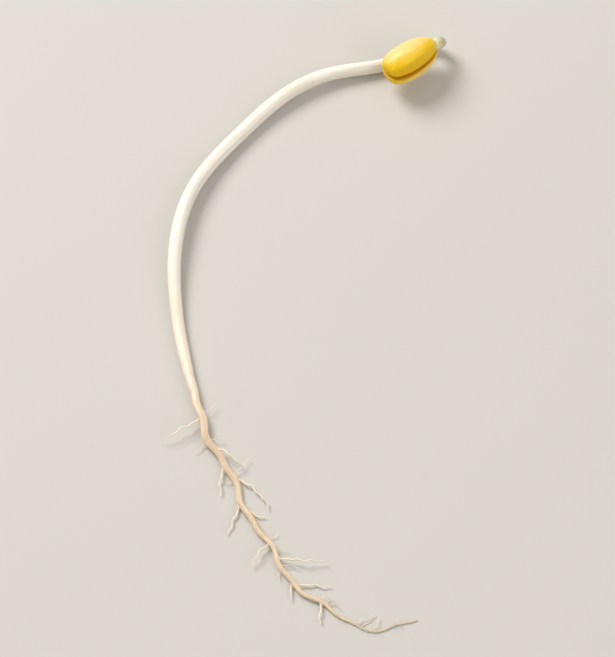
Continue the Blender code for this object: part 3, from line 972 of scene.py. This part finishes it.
def bud_leaf_surface(side):
    """A first leaf: a flattened ball that narrows to its tip, with a midrib and pinnate ribs.

    Share runs from 0 to 1 along it. The half width is narrowed by 1 - point smoothstep. On
    the outer face the midrib sinks as exp(-(y / width)^2), and ribs run out from it, as
    cos(2 pi (x - slope |y|) / spacing).
    """
    u = np.linspace(0.0, 1.0, BUD_LEAF_ROWS)[1:-1]
    angle = around(BUD_LEAF_SIDES)
    along = -np.cos(np.pi * u)[:, None]
    ring = np.sqrt(1.0 - along**2)
    share = (1.0 + along) / 2.0
    narrow = 1.0 - BUD_LEAF_POINT * smoothstep((share - 0.4) / 0.6)
    x = BUD_LENGTH * (BUD_LEAF_START + (1.0 - BUD_LEAF_START) * share)
    x = np.broadcast_to(x, (len(u), len(angle)))
    y = BUD_WIDTH / 2.0 * ring * np.cos(angle) * narrow
    outward = np.clip(np.sin(angle), 0.0, 1.0) * ring
    phase = 2.0 * np.pi * (x - BUD_RIB_SLOPE * np.abs(y)) / BUD_RIB_SPACING
    rib = BUD_RIB_HEIGHT * outward * np.cos(phase)
    midrib = -BUD_MIDRIB_DEPTH * outward * bell(y, BUD_MIDRIB_WIDTH)
    z = BUD_LEAF_THICKNESS / 2.0 * ring * np.sin(angle) + rib + midrib
    return np.stack([x, y, side * (z + BUD_LEAF_OFFSET)], axis=2)


def bud_stalk_surface():
    """The bud's short stalk, a round tube along X with rounded ends."""
    x = spread(0.0, BUD_LENGTH * BUD_STALK_SHARE, BUD_STALK_ROWS)
    centres = np.column_stack([x, np.zeros_like(x), np.zeros_like(x)])
    radii = BUD_STALK_RADIUS * rounded_ends(x, BUD_STALK_ENDS)
    return swept(centres, np.array([0.0, 1.0, 0.0]), radii[:, None], around(BUD_STALK_SIDES))


# Dressed rootlets: the radius at the base and at the tip, rows and sides.
ROOTLET_SKIN = (0.2, 0.07, 90, 16)
FINE_SKIN = (0.09, 0.04, 46, 10)
# Hair-thin rootlets between the larger ones. The climb is a share of the length.
FINE_ROOTLETS = 18
FINE_SEED = 31
FINE_TURNS = (0.7, 1.5)
FINE_LENGTHS = (1.4, 4.2)
FINE_BENDS = (-0.8, 0.8)
FINE_CLIMBS = (-0.05, 0.22)
FINE_FLOOR = 0.12
FINE_POINTS = 5
# Root hairs. The lean is a share of their length, forwards along the root.
HAIRS = 320
HAIR_SEED = 47
HAIR_ROWS = 5
HAIR_SIDES = 4
HAIR_TURNS = (0.05 * np.pi, 0.95 * np.pi)
HAIR_LENGTHS = (0.35, 0.95)
HAIR_RADII = (0.016, 0.026)
HAIR_LEANS = (-0.6, 0.9)
HAIR_TAPER = 0.75
HAIR_FLOOR = 0.04
# A hair starts at this share of the root's radius, under its skin.
HAIR_START = 0.7


def rootlet_points(route, index, draw):
    """Points of the rootlet of this index, by the solids' rule: it swings out and bends."""
    share = (index + draw.random()) / ROOTLETS
    s = np.array([ROOTLET_FIRST + (ROOTLET_LAST - ROOTLET_FIRST) * share])
    start = laid(route, s, root_radii(route, s))[0]
    heading = route.at(s)[1][0]
    side = 1.0 if index % 2 else -1.0
    turn = side * draw.uniform(*ROOTLET_ANGLES)
    bend = side * draw.uniform(*ROOTLET_BENDS)
    climb = draw.uniform(0.0, ROOTLET_CLIMB)
    shortest, longest = ROOTLET_LENGTHS
    spare = (longest - shortest) * (1.0 - ROOTLET_SHORTENING * share)
    length = shortest + spare * draw.random() ** 1.4
    t = np.linspace(0.0, 1.0, ROOTLET_POINTS)
    angle = math.atan2(heading[1], heading[0]) + turn + bend * t
    step = length / (ROOTLET_POINTS - 1)
    x = start[0] + np.concatenate([[0.0], np.cumsum(np.cos(angle[:-1]))]) * step
    y = start[1] + np.concatenate([[0.0], np.cumsum(np.sin(angle[:-1]))]) * step
    hump = climb * length * np.sin(0.9 * np.pi * t)
    radii = ROOTLET_RADIUS + (ROOTLET_TIP_RADIUS - ROOTLET_RADIUS) * t
    z = np.maximum(start[2] + hump, radii + ROOTLET_FLOOR)
    return np.column_stack([x, y, z])


def fine_rootlet_points(route, draw):
    """Points of a short hair-thin rootlet, low over the floor."""
    s = np.array([draw.uniform(ROOTLET_FIRST + 1.0, route.length - 4.0)])
    start = laid(route, s, root_radii(route, s))[0]
    heading = route.at(s)[1][0]
    turn = draw.choice([-1.0, 1.0]) * draw.uniform(*FINE_TURNS)
    length = draw.uniform(*FINE_LENGTHS)
    t = np.linspace(0.0, 1.0, FINE_POINTS)
    angle = math.atan2(heading[1], heading[0]) + turn + draw.uniform(*FINE_BENDS) * t
    x = start[0] + length * t * np.cos(angle)
    y = start[1] + length * t * np.sin(angle)
    z = start[2] + length * draw.uniform(*FINE_CLIMBS) * np.sin(2.4 * t)
    return np.column_stack([x, y, np.maximum(z, FINE_FLOOR)])


def rootlet_surface(points, draw, base, tip, rows, sides):
    """A thin rootlet through the points: its grid and pattern coordinates.

    Radius = plain (1 + 0.14 slow waves) + 0.6 base exp(-(distance / 0.4)^2), with
    plain = tip + (base - tip) (1 - t)^0.8 and t the share of the length, times low ridges,
    with both ends rounded. Its centre line sways by up to 0.2 mm, and comes down by half of
    the height that it starts at.
    """
    path = Route(points)
    s = spread(0.0, path.length, rows, ends=0.5)
    centres, heading = path.at(s)
    sideways = unit(np.cross(heading, UP))
    sway = 0.2 * slow_waves(draw, s, (3.3, 1.9)) * smoothstep(s / 1.5)
    centres = centres + sideways * sway[:, None]
    t = s / path.length
    plain = tip + (base - tip) * (1.0 - t) ** 0.8
    radii = plain * (1.0 + 0.14 * slow_waves(draw, s, (1.9, 1.1, 0.7))) + 0.6 * base * bell(s, 0.4)
    radii = radii * rounded_ends(s, (0.1, 3.0 * tip))
    lowered = 0.5 * (centres[0, 2] - base) * smoothstep(t * 3.0)
    centres[:, 2] = np.maximum(centres[:, 2] - lowered, plain)
    angle = around(sides)
    relief = 1.0 + 0.07 * ridges(draw, s, angle, (2, 3, 5), 2.0)
    grid = swept(centres, UP, radii[:, None] * relief, angle)
    return on_floor(grid), unrolled(s, plain, angle)


def rootlet_surfaces(route):
    """Grids and pattern coordinates of the solid's rootlets, made finer, and of hair-thin ones."""
    places = random.Random(ROOTLET_SEED)
    draw = np.random.default_rng(FINE_SEED)
    made = []
    for index in range(ROOTLETS):
        points = rootlet_points(route, index, places)
        made.append(rootlet_surface(points, draw, *ROOTLET_SKIN))
    for _ in range(FINE_ROOTLETS):
        points = fine_rootlet_points(route, draw)
        made.append(rootlet_surface(points, draw, *FINE_SKIN))
    return zip(*made)


def hair_surfaces(route):
    """Grids and pattern coordinates of the root hairs, thin cones that stand off the skin.

    Centre = foot + t length outward + t^2 length lean forward, with t from 0 to 1, and
    radius = thickness (1 - taper t). They grow from the root's upper side.
    """
    draw = np.random.default_rng(HAIR_SEED)
    s = draw.uniform(ROOTLET_FIRST - 1.0, route.length - 1.0, HAIRS)
    radius = root_radii(route, s)
    centres = laid(route, s, radius)
    radius = radius * rounded_end(route.length - s, ROOT_ENDS[1])
    heading = route.at(s)[1]
    sideways = level_side(heading)
    forward = np.column_stack([heading, np.zeros(HAIRS)])
    turn = draw.uniform(*HAIR_TURNS, HAIRS)
    outward = np.cos(turn)[:, None] * sideways + np.sin(turn)[:, None] * UP
    length = draw.uniform(*HAIR_LENGTHS, HAIRS)
    thickness = draw.uniform(*HAIR_RADII, HAIRS)
    lean = draw.uniform(*HAIR_LEANS, HAIRS)
    t = np.linspace(0.0, 1.0, HAIR_ROWS)
    angle = around(HAIR_SIDES)
    grids, skins = [], []
    for i in range(HAIRS):
        foot = centres[i] + outward[i] * radius[i] * HAIR_START
        swing = np.outer(t**2 * length[i] * lean[i], forward[i])
        centre = foot + np.outer(t * length[i], outward[i]) + swing
        centre[:, 2] = np.maximum(centre[:, 2], HAIR_FLOOR)
        radii = thickness[i] * (1.0 - HAIR_TAPER * t)
        grids.append(swept(centre, sideways[i] + 0.3 * forward[i], radii[:, None], angle))
        skins.append(unrolled(t * length[i], thickness[i], angle))
    return grids, skins


def build():
    """Every piece of the sprout, each in place of its solid."""
    route = Route(STEM_ROUTE + ROOT_ROUTE)
    stem_grid, stem_skin, shift = stem_surface(route)
    stem = piece("stem_skin", [stem_grid], [stem_skin], stem_finish(), shift)
    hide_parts("hypocotyl")

    root_grid, root_skin = root_surface(route)
    root = piece("root_skin", [root_grid], [root_skin], root_finish(), shift)
    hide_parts("root")
    rootlet_look = rootlet_finish()
    side_roots = piece("side_rootlets", *rootlet_surfaces(route), rootlet_look, shift)
    hairs = piece("root_hairs", *hair_surfaces(route), rootlet_look, shift)

    place = bean_place(route)
    bean_look = bean_finish()
    for name, half_turn in (("upper", 0.0), ("lower", math.pi)):
        local = seed_leaf_surface(np.random.default_rng(LEAF_SEEDS[name]))
        opening = Matrix.Rotation(half_turn, 4, "X") @ Matrix.Rotation(-LEAF_OPENING, 4, "Y")
        leaf = piece("seed_leaf_" + name, [moved(place @ opening, local)], [local], bean_look, shift)
        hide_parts("cotyledon_" + name)

    bud_place = place @ Matrix.Translation((SOCKET_DEPTH, 0.0, 0.0))
    local = [bud_stalk_surface(), bud_leaf_surface(1.0), bud_leaf_surface(-1.0)]
    bud = piece("first_leaves", [moved(bud_place, grid) for grid in local], local, bud_finish(), shift)
    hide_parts("plumule")


# The stage: a wide floor, soft light from the upper left, and the camera. Sizes in metres.
FLOOR_RADIUS = 1.6
FLOOR_SIDES = 96
FLOOR_COLOURS = ((0.60, 0.577, 0.54), (0.62, 0.597, 0.56))
CAMERA_ELEVATION = math.radians(60.0)
CAMERA_LENS = 250.0
CAMERA_SENSOR = 36.0
FRAME_HEIGHT = 106.0 * MM
WORLD_COLOUR = (1.0, 0.985, 0.965)
WORLD_STRENGTH = 0.46
# Name, place, size, power and colour of each lamp.
LAMPS = (
    ("key", (-0.54, 0.54, 0.76), 0.52, 9.9, (1.0, 0.98, 0.95)),
    ("fill", (0.8, -0.5, 0.7), 1.0, 4.4, (1.0, 0.97, 0.93)),
)


def floor_finish():
    """Plain pale floor, matt, with a faint cloud in it."""
    look = Finish("floor", {"Roughness": 0.8})
    place = look.node("ShaderNodeTexCoord", {}, {}, "Object")
    sockets = {"Vector": place, "Scale": 9.0, "Detail": 3.0}
    cloud = look.node("ShaderNodeTexNoise", {}, sockets, "Fac")
    look.feed(look.shader, {"Base Color": look.mix(cloud, *FLOOR_COLOURS)})
    return look.material


def floor():
    """A wide disc at z = 0."""
    ring = around(FLOOR_SIDES)
    points = np.column_stack([np.cos(ring), np.sin(ring), np.zeros(FLOOR_SIDES)]) * FLOOR_RADIUS
    mesh = bpy.data.meshes.new("floor")
    mesh.from_pydata(points.tolist(), [], [list(range(FLOOR_SIDES))])
    mesh.materials.append(floor_finish())
    placed("floor", mesh)


def aimed(name, data, place, direction):
    """A lamp or camera at the place, which looks along the direction."""
    made = placed(name, data)
    made.location = place
    made.rotation_mode = "QUATERNION"
    made.rotation_quaternion = direction.to_track_quat("-Z", "Y")
    return made


def lamp(name, place, size, power, colour):
    """A square soft light at the place, which looks at the origin."""
    data = bpy.data.lights.new(name, "AREA")
    data.shape = "SQUARE"
    data.size = size
    data.energy = power
    data.color = colour
    aimed(name, data, place, -Vector(place))


def world_light():
    """Even light from all round."""
    world = bpy.data.worlds.new("studio")
    world.use_nodes = True
    background = world.node_tree.nodes["Background"]
    background.inputs["Color"].default_value = (*WORLD_COLOUR, 1.0)
    background.inputs["Strength"].default_value = WORLD_STRENGTH
    bpy.context.scene.world = world


def camera():
    """Looks along +Y and down at the sprout's middle, from where the frame's height fits."""
    low, high = cad_box
    middle = (low + high) / 2.0
    middle.z = 0.0
    distance = FRAME_HEIGHT / CAMERA_SENSOR * CAMERA_LENS
    back = Vector((0.0, -math.cos(CAMERA_ELEVATION), math.sin(CAMERA_ELEVATION)))
    data = bpy.data.cameras.new("camera")
    data.lens = CAMERA_LENS
    data.sensor_width = CAMERA_SENSOR
    data.clip_start = 0.01
    data.clip_end = 10.0
    bpy.context.scene.camera = aimed("camera", data, middle + back * distance, -back)


build()
floor()
world_light()
for values in LAMPS:
    lamp(*values)
camera()
bpy.context.scene.view_settings.view_transform = "Standard"
